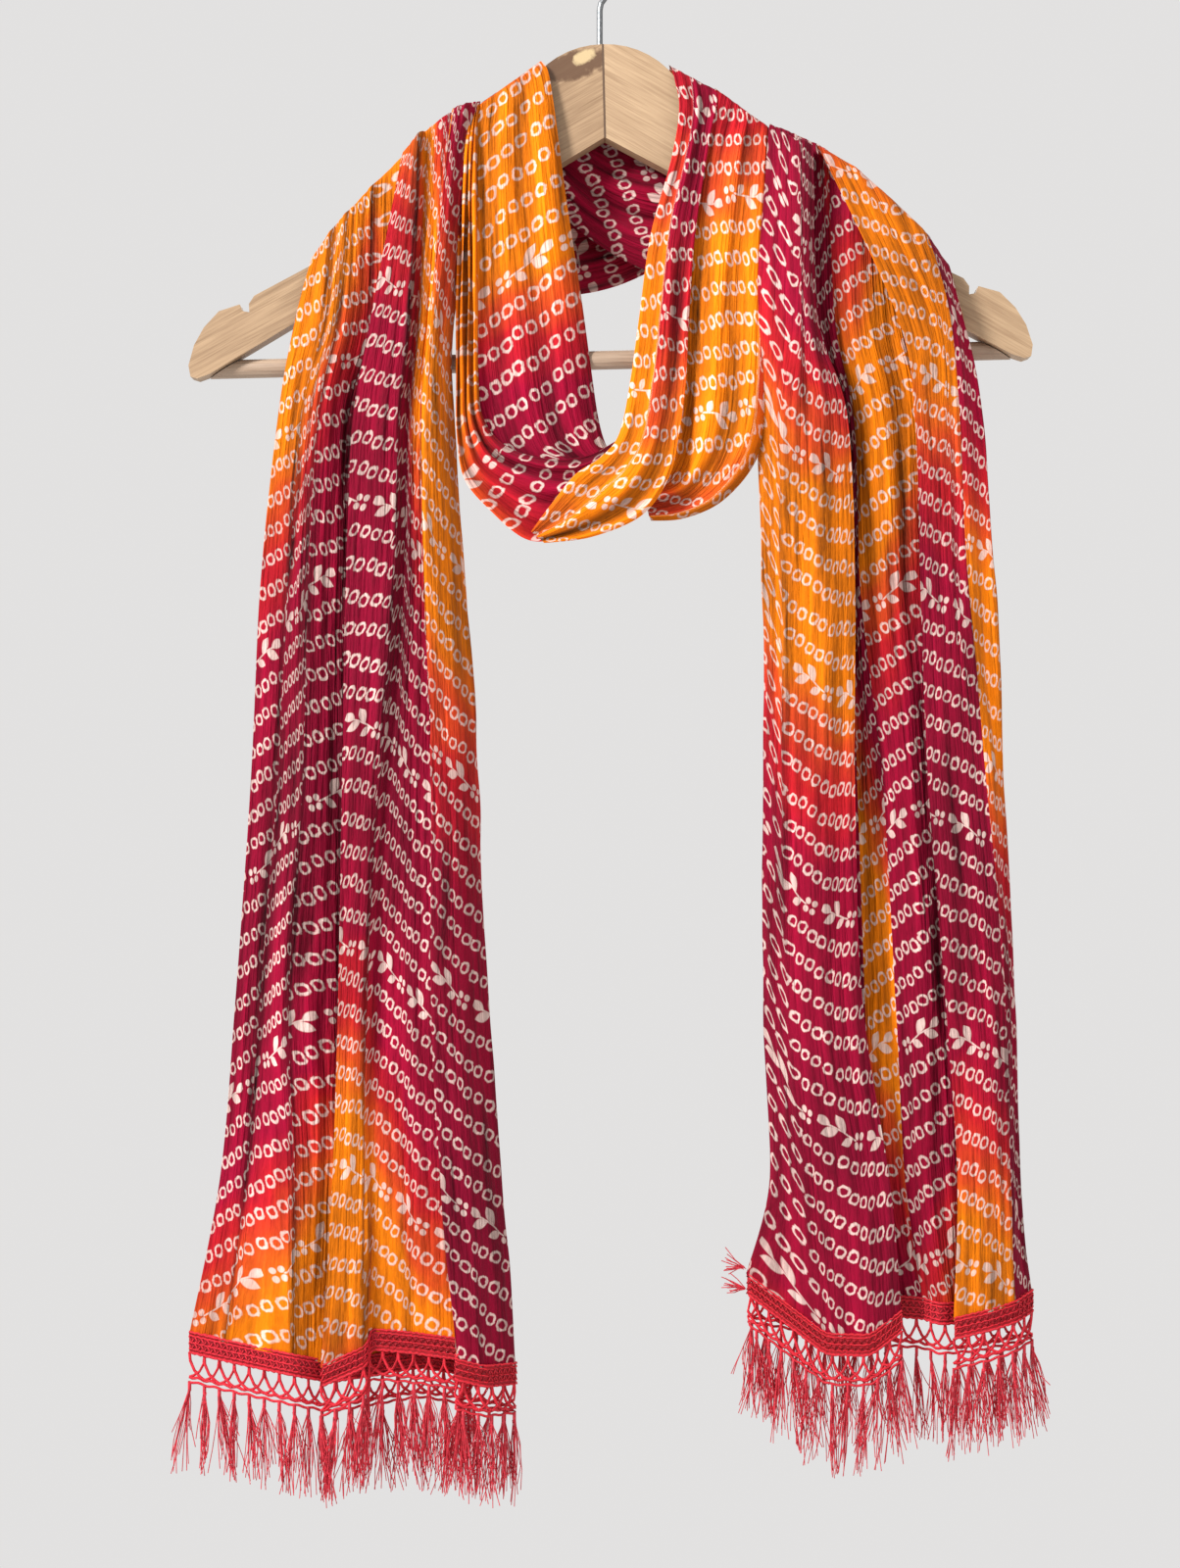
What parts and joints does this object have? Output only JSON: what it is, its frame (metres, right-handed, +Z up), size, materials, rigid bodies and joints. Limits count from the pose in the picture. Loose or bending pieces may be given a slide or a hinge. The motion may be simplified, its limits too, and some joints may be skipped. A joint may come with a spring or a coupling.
{
  "type": "dupatta stole on a hanger",
  "caption": "Long printed stole wound round the neck of a wooden trouser-bar hanger, both fringed ends hanging in front.",
  "frame": {"origin": "the seat inside the top of the hook, where it hangs on a rail", "axes": "+Z up, -Y towards the viewer in front, +X to the right as seen from the front"},
  "size_m": [0.4461, 0.0786, 0.8366],
  "materials": {
    "stole_cloth": "crinkled semi-sheer woven cloth, crimson to orange, printed with pale rings and vines",
    "trim_thread": "dull dark red crochet thread",
    "hanger_wood": "bare pale wood with a straight grain",
    "hook_steel": "plain steel wire"
  },
  "bodies": {
    "root": {"tail_left": "stole_cloth", "tail_right": "stole_cloth", "loop_left": "stole_cloth", "loop_band": "stole_cloth", "loop_right": "stole_cloth", "back_inner": "stole_cloth", "back_outer": "stole_cloth", "braid_left": "trim_thread", "braid_right": "trim_thread", "fringe_left": "trim_thread", "fringe_right": "trim_thread", "arm_left": "hanger_wood", "arm_right": "hanger_wood", "trouser_bar": "hanger_wood", "hook": "hook_steel"}
  },
  "joints": []
}
